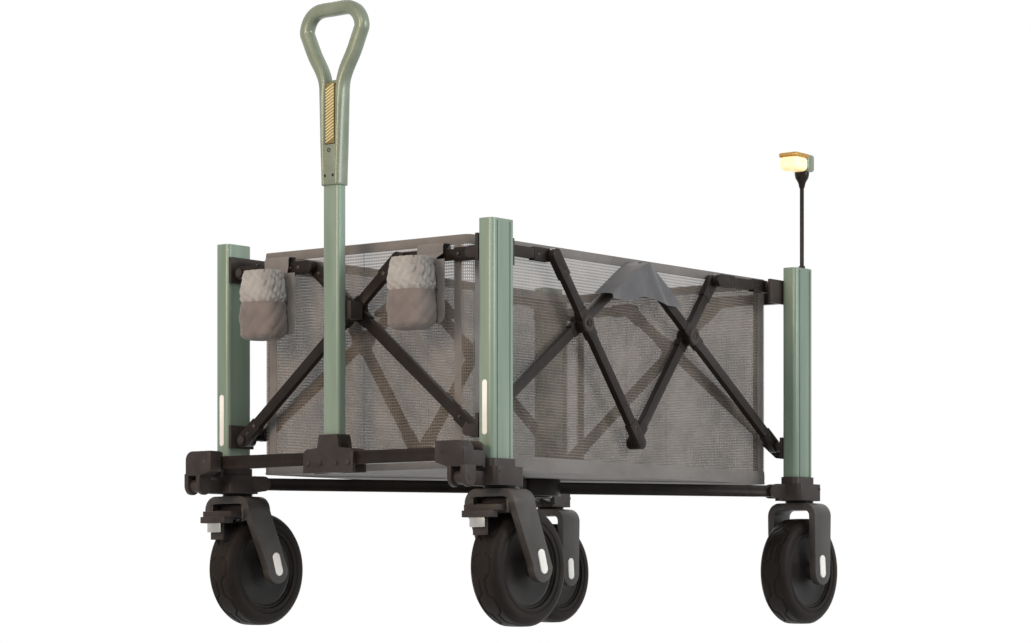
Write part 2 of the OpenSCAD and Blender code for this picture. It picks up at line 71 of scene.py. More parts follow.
MM = 0.001
UP = Vector((0, 0, 1))
QUARTERS = {"front_right": (-1, -1), "front_left": (-1, 1), "rear_right": (1, -1), "rear_left": (1, 1)}
SIDES = {"right": -1, "left": 1}

# Places that several pieces share, from the frame
TUB_LOW, TUB_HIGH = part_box("tub")
HEM_PROUD = 0.8 * MM
TUB_X = TUB_HIGH.x - HEM_PROUD
TUB_Y = TUB_HIGH.y - HEM_PROUD
TUB_ROUND = 12 * MM
WALL_T = 1.2 * MM
HEM_H = 14 * MM
POST_LOW, POST_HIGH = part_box("post_front_left")
POST_X = -(POST_LOW.x + POST_HIGH.x) / 2
POST_Y = (POST_LOW.y + POST_HIGH.y) / 2

# How far the posts come in over the whole fold, from the base arm's length and angle
FOLD_ANGLE = radians(next(j for j in frame["joints"] if j["name"] == "fold")["range_deg"][1])
ARM_REACH = Vector((POST_X - 38 * MM, POST_Y - 24 * MM))
ARM_ROOT = 44 * MM
ARM_TRAVEL = (ARM_REACH.length - ARM_ROOT) * (1 - cos(FOLD_ANGLE))
FOLD_IN = ARM_REACH.normalized() * ARM_TRAVEL

# Side scissor pivots (x, z) and end scissor pivots (y, z)
SIDE_LOW = Vector((POST_X - 18 * MM, 300 * MM))
SIDE_TOP = Vector((0, 568 * MM))
SIDE_CENTRE = Vector((0, 290 * MM))
SIDE_ELBOW = Vector((POST_X - 187.3 * MM, 568 * MM))
SIDE_LINK = Vector((POST_X - 50 * MM, 568 * MM))
SIDE_CROSS = Vector((144.6 * MM, 469.4 * MM))
END_LOW = Vector((227.4 * MM, 291 * MM))
END_TOP = Vector((-90.7 * MM, 554 * MM))
END_INNER_FACE, END_OUTER_FACE = 420 * MM, 433 * MM
INNER_FACE = 224 * MM
OUTER_FACE = 237 * MM


# ---------------------------------------------------------------- modelling


def deselect():
    if bpy.context.object and bpy.context.object.mode != "OBJECT":
        bpy.ops.object.mode_set(mode="OBJECT")
    bpy.ops.object.select_all(action="DESELECT")


def activate(piece):
    deselect()
    piece.select_set(True)
    bpy.context.view_layer.objects.active = piece


def settle(piece):
    """Puts a piece's place, turn and size into its mesh."""
    activate(piece)
    bpy.ops.object.transform_apply(location=True, rotation=True, scale=True)
    return piece


def apply_modifier(piece, kind, **settings):
    activate(piece)
    modifier = piece.modifiers.new(kind.lower(), kind)
    for key, value in settings.items():
        setattr(modifier, key, value)
    bpy.ops.object.modifier_apply(modifier=modifier.name)


def shade_smooth(angle):
    """Smooths the active piece's edges under an angle in degrees."""
    bpy.ops.object.shade_smooth_by_angle(angle=radians(angle))


def round_edges(piece, width, segments=3, angle=32):
    apply_modifier(
        piece, "BEVEL", width=width, segments=segments, limit_method="ANGLE", angle_limit=radians(angle),
    )
    shade_smooth(angle)
    return piece


@contextmanager
def editing(piece):
    """Edit mode on a piece, with its whole mesh selected."""
    activate(piece)
    bpy.ops.object.mode_set(mode="EDIT")
    bpy.ops.mesh.select_all(action="SELECT")
    yield
    bpy.ops.object.mode_set(mode="OBJECT")


def clean(piece, reach=0.01 * MM):
    """Merges doubles and turns every face outwards."""
    with editing(piece):
        bpy.ops.mesh.remove_doubles(threshold=reach)
        bpy.ops.mesh.normals_make_consistent(inside=False)
    return piece


def face_outwards(piece, angle):
    """Turns every face outwards, and smooths the edges under an angle in degrees."""
    with editing(piece):
        bpy.ops.mesh.normals_make_consistent(inside=False)
    shade_smooth(angle)


def mesh_piece(name, points, faces, edges=()):
    mesh = bpy.data.meshes.new(name)
    mesh.from_pydata([tuple(p) for p in points], list(edges), [tuple(f) for f in faces])
    piece = bpy.data.objects.new(name, mesh)
    bpy.context.collection.objects.link(piece)
    return piece


def ring_faces(rings, around, strips=None):
    """Quads between rings of points, all the way round unless fewer strips are asked for."""
    faces = []
    for ring in range(rings):
        for k in range(strips or around):
            a, b = ring * around + k, ring * around + (k + 1) % around
            faces.append((a, b, b + around, a + around))
    return faces


def mm_pairs(*pairs):
    """Pairs of millimetres as pairs of metres."""
    return [(a * MM, b * MM) for a, b in pairs]


def heading(line, number):
    """The direction of a line at one of its points, from its two neighbours."""
    before, after = line[max(number - 1, 0)], line[min(number + 1, len(line) - 1)]
    return Vector((after[0] - before[0], after[1] - before[1])).normalized()


def middle_of(node):
    low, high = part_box(node)
    return (low + high) / 2


def fork_of(quarter):
    """The fork's node at a corner: a castor in front, a fixed one at the rear."""
    return ("castor_fork_" if QUARTERS[quarter][0] < 0 else "rear_fork_") + quarter.split("_")[1]


def finish(piece, name, body, material):
    piece.name = name
    piece.data.name = name
    piece.data.materials.clear()
    piece.data.materials.append(material)
    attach(piece, body)
    return piece


def box_between(low, high, edge, segments=3):
    deselect()
    low, high = Vector(low), Vector(high)
    bpy.ops.mesh.primitive_cube_add(size=1, location=(low + high) / 2)
    piece = bpy.context.object
    piece.scale = high - low
    settle(piece)
    return round_edges(piece, edge, segments)


def aim(piece, centre, direction):
    """Turns a piece made along +Z to face a direction, at a centre."""
    turn = Vector(direction).to_track_quat("Z", "Y").to_matrix().to_4x4()
    piece.data.transform(turn)
    piece.location = centre
    return settle(piece)


def turned(profile, centre, direction, steps=48):
    """A solid of revolution. The profile's points are (radius, height) along the direction."""
    count = len(profile)
    closed = profile[0][0] > 0 and profile[-1][0] > 0
    edges = [(k, k + 1) for k in range(count - 1)] + ([(count - 1, 0)] if closed else [])
    piece = mesh_piece("profile", [(r, 0, h) for r, h in profile], [], edges)
    with editing(piece):
        bpy.ops.mesh.spin(steps=steps, angle=2 * pi, center=(0, 0, 0), axis=(0, 0, 1))
    clean(piece)
    shade_smooth(32)
    return aim(piece, centre, direction)


def pill(centre, direction, length, width, height):
    """A flat bar with round ends, standing proud of a face, long in its local X."""
    deselect()
    bpy.ops.mesh.primitive_cylinder_add(vertices=32, radius=width / 2, depth=height)
    piece = bpy.context.object
    spread = (length - width) / 2
    for v in piece.data.vertices:
        v.co.x += spread if v.co.x > 0 else -spread
    round_edges(piece, height * 0.35)
    return aim(piece, centre, direction)


def swept(name, stations, section):
    """A closed solid through stations, each a point and its outward direction.
    The section runs up its outer side and down its inner side, as (outward, up)."""
    points, places, along = [], [], 0.0
    for number, (point, outward) in enumerate(stations):
        if number:
            along += (point - stations[number - 1][0]).length
        for out, up in section:
            points.append(point + outward * out + UP * up)
            places.append((along, up, 0.0))
    n = len(section)
    faces = ring_faces(len(stations) - 1, n)
    last = (len(stations) - 1) * n
    for start in (0, last):
        for k in range(n // 2 - 1):
            faces.append((start + k, start + k + 1, start + n - 2 - k, start + n - 1 - k))
    piece = mesh_piece(name, points, faces)
    mark_cloth(piece, places)
    face_outwards(piece, 50)
    return piece


def mark_cloth(piece, places):
    """Keeps where each point lies on the flat cloth, for the weave."""
    spots = piece.data.attributes.new("cloth", "FLOAT_VECTOR", "POINT")
    spots.data.foreach_set("vector", [value for place in places for value in place])


def band_section(outer, inner, low, high, rows, bulge=0.0):
    """A thin upright band, which may bulge outwards at its middle."""
    heights = [low + (high - low) * k / rows for k in range(rows + 1)]
    swell = [bulge * sin(pi * k / rows) for k in range(rows + 1)]
    return [(outer + s, h) for h, s in zip(heights, swell)] + [(inner, h) for h in reversed(heights)]


# ---------------------------------------------------------------- materials


def colour(red, green, blue):
    """An sRGB colour of 0 to 255 as the shader's linear one."""

    def linear(value):
        share = value / 255
        return share / 12.92 if share <= 0.04045 else ((share + 0.055) / 1.055) ** 2.4

    return (linear(red), linear(green), linear(blue), 1.0)


def new_material(name):
    material = bpy.data.materials.new(name)
    material.use_nodes = True
    tree = material.node_tree
    return material, tree, tree.nodes["Principled BSDF"]


def put(node, **values):
    for key, value in values.items():
        node.inputs[key.replace("_", " ")].default_value = value


def add(tree, kind, **inputs):
    node = tree.nodes.new(kind)
    put(node, **inputs)
    return node


def ramp(tree, factor, dark, light, low=0.35, high=0.65):
    node = tree.nodes.new("ShaderNodeValToRGB")
    node.color_ramp.elements[0].position = low
    node.color_ramp.elements[1].position = high
    node.color_ramp.elements[0].color = colour(*dark)
    node.color_ramp.elements[1].color = colour(*light)
    tree.links.new(factor, node.inputs["Fac"])
    return node


def spread_values(tree, factor, low, high):
    node = add(tree, "ShaderNodeMapRange", To_Min=low, To_Max=high)
    tree.links.new(factor, node.inputs["Value"])
    return node.outputs["Result"]


def bump(tree, shader, height, strength, distance):
    node = add(tree, "ShaderNodeBump", Strength=strength, Distance=distance)
    tree.links.new(height, node.inputs["Height"])
    tree.links.new(node.outputs["Normal"], shader.inputs["Normal"])


def moulded(
    name, dark, light, rough, grain=1400, relief=0.12, metal=0.0, coat=0.0, stretch=(1, 1, 1), mirror=0.5
):
    """Metal, paint, plastic or rubber: slow colour drift, worn gloss and a fine grain."""
    material, tree, shader = new_material(name)
    coords = tree.nodes.new("ShaderNodeTexCoord")
    turn = add(tree, "ShaderNodeMapping", Scale=stretch)
    tree.links.new(coords.outputs["Object"], turn.inputs["Vector"])
    drift = add(tree, "ShaderNodeTexNoise", Scale=22, Detail=5, Roughness=0.6)
    fine = add(tree, "ShaderNodeTexNoise", Scale=grain, Detail=2, Roughness=0.5)
    for noise in (drift, fine):
        tree.links.new(turn.outputs["Vector"], noise.inputs["Vector"])
    shade = ramp(tree, drift.outputs["Fac"], dark, light)
    tree.links.new(shade.outputs["Color"], shader.inputs["Base Color"])
    tree.links.new(
        spread_values(tree, drift.outputs["Fac"], rough - 0.08, rough + 0.08),
        shader.inputs["Roughness"],
    )
    bump(tree, shader, fine.outputs["Fac"], relief, 0.3 * MM)
    put(shader, Metallic=metal, Coat_Weight=coat, Specular_IOR_Level=mirror)
    return material


def wave(tree, source, pitch, phase=None):
    """A sine of 0 to 1 along one axis, with a pitch in metres."""
    scale = tree.nodes.new("ShaderNodeMath")
    scale.operation = "MULTIPLY"
    scale.inputs[1].default_value = 2 * pi / pitch
    tree.links.new(source, scale.inputs[0])
    value = scale.outputs[0]
    if phase is not None:
        value = combine(tree, "ADD", value, phase)
    sine = tree.nodes.new("ShaderNodeMath")
    sine.operation = "SINE"
    tree.links.new(value, sine.inputs[0])
    half = add(tree, "ShaderNodeMapRange", From_Min=-1)
    tree.links.new(sine.outputs[0], half.inputs["Value"])
    return half.outputs["Result"]


def combine(tree, operation, first, second):
    node = tree.nodes.new("ShaderNodeMath")
    node.operation = operation
    tree.links.new(first, node.inputs[0])
    tree.links.new(second, node.inputs[1])
    return node.outputs[0]


def woven(name, dark, light, rows, columns, relief=0.4, see_through=None, rough=0.82):
    """Cloth woven on the piece's own cloth attribute. see_through is (hole, thread) opacity."""
    material, tree, shader = new_material(name)
    place = tree.nodes.new("ShaderNodeAttribute")
    place.attribute_name = "cloth"
    parts = tree.nodes.new("ShaderNodeSeparateXYZ")
    tree.links.new(place.outputs["Vector"], parts.inputs["Vector"])
    drift = add(tree, "ShaderNodeTexNoise", Scale=9, Detail=4, Roughness=0.6)
    tree.links.new(place.outputs["Vector"], drift.inputs["Vector"])
    sway = spread_values(tree, drift.outputs["Fac"], -1.2, 1.2)
    across = wave(tree, parts.outputs["Y"], rows, sway)
    upward = wave(tree, parts.outputs["X"], columns)
    thread = combine(tree, "MAXIMUM", across, upward)
    mixed = combine(tree, "MULTIPLY", thread, drift.outputs["Fac"])
    shade = ramp(tree, mixed, dark, light, 0.16, 0.56)
    tree.links.new(shade.outputs["Color"], shader.inputs["Base Color"])
    bump(tree, shader, thread, relief, 0.4 * MM)
    if see_through:
        tree.links.new(spread_values(tree, thread, see_through[0], see_through[1]), shader.inputs["Alpha"])
    put(shader, Roughness=rough, Sheen_Weight=0.15)
    return material


def glowing(name, tint, strength):
    material, tree, shader = new_material(name)
    coords = tree.nodes.new("ShaderNodeTexCoord")
    drift = add(tree, "ShaderNodeTexNoise", Scale=60, Detail=3)
    tree.links.new(coords.outputs["Object"], drift.inputs["Vector"])
    shade = ramp(tree, drift.outputs["Fac"], tint, (255, 240, 205), 0.3, 0.7)
    tree.links.new(shade.outputs["Color"], shader.inputs["Base Color"])
    tree.links.new(shade.outputs["Color"], shader.inputs["Emission Color"])
    put(shader, Emission_Strength=strength, Roughness=0.35)
    return material


GREEN = moulded(
    "green_anodised", (118, 136, 120), (137, 154, 139), 0.42, 900, 0.03, 0.25, 0.08, (1, 1, 0.12)
)
GREEN_GRIP = moulded("green_moulded", (120, 130, 112), (136, 146, 128), 0.36, 1600, 0.05, 0.2, 0.1)
FRAME = moulded("brown_black_tube", (29, 24, 21), (41, 34, 31), 0.36, 1200, 0.06, 0.15, mirror=0.22)
PLASTIC = moulded("charcoal_plastic", (46, 40, 38), (60, 53, 50), 0.45, 1500, 0.14, mirror=0.25)
FORK = moulded("fork_plastic", (56, 53, 51), (70, 66, 64), 0.42, 1500, 0.14, mirror=0.4)
RUBBER = moulded("tyre_rubber", (26, 22, 20), (37, 31, 28), 0.55, 1100, 0.2, mirror=0.15)
RIM = moulded("rim_plastic", (31, 29, 28), (41, 38, 37), 0.42, 1500, 0.12, mirror=0.2)
CREAM = moulded("cream_plastic", (206, 192, 138), (226, 214, 166), 0.45, 1500, 0.1)
# a darker, shaded copy of the cream plastic: painted shade for the insert's recess between the ribs
CREAM_PAINTED_SHADE = moulded("cream_painted_recess_shade", (112, 98, 58), (134, 120, 76), 0.6, 1500, 0.1)
GOLD = moulded("lamp_gold", (176, 132, 58), (206, 164, 88), 0.35, 1500, 0.06, 0.4)
WHITE = moulded("white_reflector", (232, 230, 224), (246, 245, 240), 0.28, 700, 0.05, 0.0, 0.3)
STEEL = moulded("bright_steel", (190, 188, 184), (214, 212, 208), 0.28, 900, 0.05, 0.9)
SCREW = moulded("dark_screw", (52, 47, 44), (98, 91, 86), 0.34, 900, 0.06, 0.6)
MESH = woven("tub_mesh", (28, 25, 23), (138, 127, 117), 4.6 * MM, 3.4 * MM, 0.7, (0.1, 0.6))
HEM = woven("grey_webbing", (94, 90, 87), (137, 132, 128), 1.5 * MM, 2.2 * MM, 0.5)
FLAP = woven("flap_cloth", (72, 72, 74), (116, 116, 118), 1.1 * MM, 1.1 * MM, 0.3)
PALE = woven("pouch_net", (108, 104, 101), (186, 183, 179), 1.6 * MM, 1.6 * MM, 0.5)
TAUPE = woven("pouch_cloth", (88, 80, 76), (134, 124, 119), 1.0 * MM, 1.0 * MM, 0.3)
THREAD = woven("pale_thread", (128, 122, 117), (172, 166, 160), 0.6 * MM, 0.6 * MM, 0.3)
GLOW = glowing("lamp_glow", (255, 216, 142), 0.55)

# Which finish and slot each CAD node takes, by the start of its name
BARS = ("long_bar_", "steep_bar_", "side_link_", "end_bar_", "end_link_", "yoke_link_")
FINISHES = (
    (FRAME, "dark_frame", ("base_", "lamp_stem", *BARS)), (GREEN, "green_frame", ("post_", "handle_tube")),
    (PLASTIC, "dark_plastic", ("corner_block_", "brake_pedal_", "handle_bracket", "handle_clip")),
)
SOFT_EDGE, SHARP_EDGE = 1.8 * MM, 0.7 * MM
REPLACED_BY_NEW = ("tub", "wheel_", "pouch_", "lamp_head", "castor_fork_", "rear_fork_", "grip", "yoke_lug_")


def refined_node(node):
    """A copy of a CAD node with true flat faces and softened edges, which stands for the node."""
    material, slot = next((kind, slot) for kind, slot, starts in FINISHES if node.startswith(starts))
    source = frame["nodes"][node]
    piece = bpy.data.objects.new(node + "_shape", source.data.copy())
    bpy.context.collection.objects.link(piece)
    activate(piece)
    if piece.data.has_custom_normals:
        bpy.ops.mesh.customdata_custom_splitnormals_clear()
    with editing(piece):
        bpy.ops.mesh.remove_doubles(threshold=0.01 * MM)
        bpy.ops.mesh.dissolve_limited(angle_limit=radians(0.6))
    edge = SOFT_EDGE if node.startswith((*BARS, "corner_block_")) else SHARP_EDGE
    round_edges(piece, edge, 3, 40)
    finish(piece, node + "_shape", source["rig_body"], material)
    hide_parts(node)
    return piece


# ---------------------------------------------------------------- camera and light

CAMERA_PLACE = (-3.8211, -2.9636, 0.0366)
CAMERA_TURN = (90, 0, -52.02)
CAMERA_LENS, CAMERA_SHIFT_UP = 103.06, 0.2723
BEHIND_WAGON = (0.79, 0.61, 0)


def make_camera():
    deselect()
    bpy.ops.object.camera_add(
        location=CAMERA_PLACE, rotation=tuple(radians(angle) for angle in CAMERA_TURN)
    )
    camera = bpy.context.object
    camera.data.lens = CAMERA_LENS
    camera.data.shift_y = CAMERA_SHIFT_UP
    bpy.context.scene.camera = camera


def make_light(name, place, target, size, power, tint):
    data = bpy.data.lights.new(name, "AREA")
    data.size, data.energy, data.color = size, power, tint
    lamp = bpy.data.objects.new(name, data)
    bpy.context.collection.objects.link(lamp)
    lamp.location = place
    lamp.rotation_euler = (Vector(target) - Vector(place)).to_track_quat("-Z", "Y").to_euler()


def make_studio():
    world = bpy.data.worlds.new("studio")
    world.use_nodes = True
    tree = world.node_tree
    backdrop = tree.nodes["Background"]
    put(backdrop, Color=(1, 1, 1, 1))
    # white behind the wagon, dimmer in front of it, which keeps the dark parts dark
    way = tree.nodes.new("ShaderNodeTexCoord")
    facing = add(tree, "ShaderNodeVectorMath")
    facing.operation = "DOT_PRODUCT"
    facing.inputs[1].default_value = BEHIND_WAGON
    tree.links.new(way.outputs["Generated"], facing.inputs[0])
    dimmed = add(tree, "ShaderNodeMapRange", From_Min=-0.2, From_Max=0.6, To_Min=0.52, To_Max=1.0)
    tree.links.new(facing.outputs["Value"], dimmed.inputs["Value"])
    tree.links.new(dimmed.outputs["Result"], backdrop.inputs["Strength"])
    bpy.context.scene.world = world
    bpy.context.scene.view_settings.view_transform = "Standard"
    middle = (0, 0, 0.4)
    make_light("warm_key", (-4.6, 0.3, 1.5), middle, 1.3, 88, (1.0, 0.76, 0.56))
    make_light("front_strip", (-3.6, -2.0, 2.4), middle, 0.6, 40, (1, 0.98, 0.95))
    make_light("side_fill", (1.2, -4.0, 1.5), middle, 1.6, 74, (0.97, 0.99, 1.0))
    make_light("back_light", (2.6, 3.0, 2.4), middle, 1.4, 40, (1, 1, 1))


# ---------------------------------------------------------------- tub


def ripple(place, coordinate, height, edge):
    """How far the mesh lies inside its flat line, which is 0 at hem, floor and corner."""
    share = (height - TUB_LOW.z) / (TUB_HIGH.z - TUB_LOW.z)
    hold = sin(pi * min(max(share, 0), 1)) ** 0.7 * min(1, edge / 0.07)
    slow = 0.5 + 0.5 * sin(11 * coordinate + 5.5 * share + place)
    quick = 0.5 + 0.5 * sin(31 * coordinate - 9 * share + 2 * place)
    return hold * (3.2 * slow + 1.3 * quick) * MM


def straight(start, end, outward, step=12 * MM):
    count = max(2, round((end - start).length / step))
    return [(start.lerp(end, k / count), outward) for k in range(count + 1)]


def quarter_turn(sx, sy, count=8):
    """Stations round a corner of the tub, from its long side to its end."""
    centre = Vector((sx * (TUB_X - TUB_ROUND), sy * (TUB_Y - TUB_ROUND), 0))
    stations = []
    for k in range(count + 1):
        angle = pi / 2 * (1 - k / count)
        outward = Vector((sx * cos(angle), sy * sin(angle), 0))
        stations.append((centre + outward * TUB_ROUND, outward))
    return stations


def stitch_row(stations, height, out, pitch=5 * MM, length=3.2 * MM, thick=0.45 * MM):
    """A level row of short raised stitches along straight stations."""
    start, end, outward = stations[0][0], stations[-1][0], stations[0][1]
    way = (end - start).normalized()
    count = int((end - start).length / pitch)
    points, faces = [], []
    for k in range(count):
        middle = start + way * (k + 0.5) * pitch + UP * height + outward * out
        first = len(points)
        for lengthwise in (-1, 1):
            for side, rise in ((0, -1), (1, 0), (0, 1), (-0.4, 0)):
                points.append(
                    middle + way * lengthwise * length / 2 + outward * side * thick + UP * rise * thick
                )
        for j in range(4):
            a, b = first + j, first + (j + 1) % 4
            faces.append((a, b, b + 4, a + 4))
        faces += [tuple(range(first, first + 4)), tuple(range(first + 7, first + 3, -1))]
    piece = mesh_piece("stitches", points, faces)
    return clean(piece, 0.001 * MM)


def tub_parts(label, body, stations, squash=None, coordinate=None, phase=0.0):
    """Mesh, hem, bottom band and stitching of one stretch of the tub's wall."""
    low, high = TUB_LOW.z, TUB_HIGH.z
    outward = stations[0][1]

    def pull_in(piece):
        edge_at = (TUB_X if coordinate == 0 else TUB_Y) - TUB_ROUND
        for v in piece.data.vertices:
            along = v.co[coordinate]
            v.co -= outward * ripple(phase, along, v.co.z, edge_at - abs(along))

    wall = swept("wall", stations, band_section(-0.2 * MM, -0.2 * MM - WALL_T, low, high - 3 * MM, 44))
    if coordinate is not None:
        pull_in(wall)
    finish(wall, "tub_wall_" + label, body, MESH)
    hem = swept("hem", stations, band_section(0.1 * MM, -2.6 * MM, high - HEM_H, high, 8, 0.7 * MM))
    finish(hem, "tub_hem_" + label, body, HEM)
    foot = swept("foot", stations, band_section(0.1 * MM, -1.8 * MM, low, low + 22 * MM, 8, 0.7 * MM))
    finish(foot, "tub_band_" + label, body, HEM)
    made = [wall, hem, foot]
    if coordinate is not None:
        for number, height in enumerate((high - HEM_H + 2.2 * MM, low + 19.4 * MM)):
            row = stitch_row(stations, height, 0.35 * MM)
            finish(row, f"tub_stitch_{label}_{number}", body, THREAD)
            made.append(row)
        # the sewn band beside the corner
        near = stations[-1][0]
        way = (stations[0][0] - near).normalized()
        beside = 2 * MM
        strip = straight(near + way * beside, near + way * (beside + 14 * MM), outward, 3.5 * MM)
        seam = swept("seam", strip, band_section(0.35 * MM, -0.1 * MM, low + 14 * MM, high - HEM_H, 40))
        pull_in(seam)
        finish(seam, f"tub_seam_{label}_0", body, HEM)
        made.append(seam)
    if squash:
        for piece in made:
            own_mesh(piece)
    return wall


def make_tub():
    first = None
    for quarter, (sx, sy) in QUARTERS.items():
        body = "post_" + quarter
        side_y, end_x = sy * TUB_Y, sx * TUB_X
        side_len, end_len = TUB_X - TUB_ROUND, TUB_Y - TUB_ROUND
        side = straight(Vector((0, side_y, 0)), Vector((sx * side_len, side_y, 0)), Vector((0, sy, 0)))
        wall = tub_parts(
            "side_" + quarter, body, side,
            ((1, 0, 0), (sx * side_len, 0, 0), (side_len - FOLD_IN.x) / side_len), 0,
            0.3 if sy < 0 else 1.7,
        )
        first = first or wall
        end = straight(Vector((end_x, 0, 0)), Vector((end_x, sy * end_len, 0)), Vector((sx, 0, 0)))
        tub_parts(
            "end_" + quarter, body, end, ((0, 1, 0), (0, sy * end_len, 0), (end_len - FOLD_IN.y) / end_len),
            1, 2.6,
        )
        tub_parts("corner_" + quarter, body, quarter_turn(sx, sy))
        make_floor_quarter(quarter, sx, sy)
    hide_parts("tub")


def make_floor_quarter(quarter, sx, sy):
    """A padded quarter of the tub's floor, which tips up with its base arm."""
    inset, high, thick = 2.6 * MM, TUB_LOW.z + 3.4 * MM, 3.0 * MM
    reach_x, reach_y = TUB_X - inset, TUB_Y - inset
    columns, rows = 34, 20
    points, faces, places = [], [], []
    for level in (0, 1):
        for i in range(columns + 1):
            for j in range(rows + 1):
                x, y = reach_x * i / columns, reach_y * j / rows
                crown = 0.5 * MM * sin(pi * (i % 9) / 9) if level == 0 else 0
                points.append(Vector((sx * x, sy * y, high + crown - level * thick)))
                places.append((x, y, 0.0))
    stride = rows + 1
    layer = (columns + 1) * stride
    for i in range(columns):
        for j in range(rows):
            a = i * stride + j
            for base, order in ((0, 1), (layer, -1)):
                quad = (base + a, base + a + stride, base + a + stride + 1, base + a + 1)
                faces.append(quad[::order])
    rim = (
        [i * stride for i in range(columns + 1)]
        + [columns * stride + j for j in range(1, rows + 1)]
        + [i * stride + rows for i in range(columns - 1, -1, -1)]
        + [j for j in range(rows - 1, 0, -1)]
    )
    for a, b in zip(rim, rim[1:] + rim[:1]):
        faces.append((a, b, b + layer, a + layer))
    piece = mesh_piece("floor_quarter", points, faces)
    mark_cloth(piece, places)
    clean(piece, 0.0001 * MM)
    shade_smooth(50)
    finish(piece, "tub_floor_" + quarter, "base_arm_" + quarter, HEM)
    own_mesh(piece)


def make_flaps():
    """The cloth that hangs over the tops of the long bars, as an inverted V on each side."""
    reach, columns, rows, wrap = 92 * MM, 40, 18, 7
    slope = (SIDE_TOP.y - SIDE_LOW.y) / SIDE_LOW.x
    front, back, foot = OUTER_FACE + 8.0 * MM, TUB_Y + 2.0 * MM, 512 * MM
    for quarter, (sx, sy) in QUARTERS.items():
        points, places = [], []
        for s in range(columns + 1):
            x = reach * s / columns
            blunt = 5 * MM * exp(-((x / (16 * MM)) ** 2))
            top = SIDE_TOP.y + 13 * MM - slope * x - blunt
            arch = 9 * MM * cos(pi / 2 * min(x / (60 * MM), 1)) ** 2
            low = min(foot + arch, top - 5 * MM)
            for k in range(rows + 1):
                share = k / rows
                z = low + (top - low) * share
                across = (x - 46 * MM * (1 - share) * sx) / (15 * MM)
                ridge = 4.6 * MM * exp(-(across**2)) * cos(pi / 2 * min(x / reach, 1)) ** 0.5
                drape = 2.0 * MM * sin(75 * x) * cos(1.6 * share + 0.6 * sx) * (1 - 0.6 * share)
                points.append(Vector((sx * x, sy * (front + ridge + drape), z)))
                places.append((x, z - foot, 0.0))
            for k in range(1, wrap + 1):
                turn = pi / 2 * k / wrap
                y = back + (front - back) * cos(turn)
                points.append(Vector((sx * x, sy * y, top + 3.5 * MM * sin(turn))))
                places.append((x, top - foot + k * 4 * MM, 0.0))
        n = rows + 1 + wrap
        piece = mesh_piece("flap", points, ring_faces(columns, n, n - 1))
        mark_cloth(piece, places)
        clean(piece, 0.0001 * MM)
        apply_modifier(piece, "SOLIDIFY", thickness=0.9 * MM, offset=0)
        shade_smooth(60)
        finish(piece, "flap_" + quarter, "long_bar_" + quarter, FLAP)
        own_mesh(piece)


# ---------------------------------------------------------------- wheels


def make_wheel(quarter):
    low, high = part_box("wheel_" + quarter)
    centre = (low + high) / 2
    radius = (high.z - low.z) / 2
    across = [(radius - 0.4 * MM * abs(k / 16) ** 2, k / 16 * 17 * MM) for k in range(-16, 17)]
    shoulder = [
        (radius - inset * MM, out * MM)
        for inset, out in (
            (2.2, 20), (5.2, 23.4), (9.5, 25.4), (14, 26), (18, 25.6), (19.4, 24.2), (21.4, 24.4),
            (23.4, 25.2), (26.4, 24.6), (27.8, 22),
        )
    ]
    profile = across + shoulder + [(radius - 28.4 * MM, 0)]
    profile += [(r, -h) for r, h in reversed(shoulder)]
    steps = 240
    tyre = turned(profile, centre, (0, 1, 0), steps)
    blocks, narrow, broad, groove = 9, 5.5 * MM, 15.0 * MM, 1.5 * MM
    for v in tyre.data.vertices:
        flat = Vector((v.co.x - centre.x, v.co.z - centre.z))
        off = abs(v.co.y - centre.y)
        if flat.length < radius - 1.2 * MM or off > 18 * MM:
            continue
        turn = (atan2(flat.y, flat.x) / (2 * pi) * blocks) % 1.0
        slope = min(max((0.5 - abs(turn - 0.5)) * 7 - 1.25, 0), 1)
        line = narrow + (broad - narrow) * slope
        if abs(off - line) < groove:
            inner = flat * (1 - 2.1 * MM / flat.length)
            v.co.x, v.co.z = centre.x + inner.x, centre.z + inner.y
    finish(tyre, "tyre_" + quarter, "wheel_" + quarter, RUBBER)
    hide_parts("wheel_" + quarter)
    rim_r, bore, boss = radius - 28 * MM, 6.4 * MM, 15 * MM
    dish = ((0, 21.4), (2.4, 21.6), (4, 18.6), (7, 17.6))
    hub = ((15, 18.6), (4, 20.4), (0, 23), (-1.6, 33.6))
    face = [(rim_r - inset * MM, out * MM) for inset, out in dish]
    face += [(boss + wider * MM, out * MM) for wider, out in hub] + [(bore, 33.8 * MM)]
    rim = turned([(r, -h) for r, h in reversed(face)] + face, centre, (0, 1, 0), 96)
    finish(rim, "rim_" + quarter, "wheel_" + quarter, RIM)


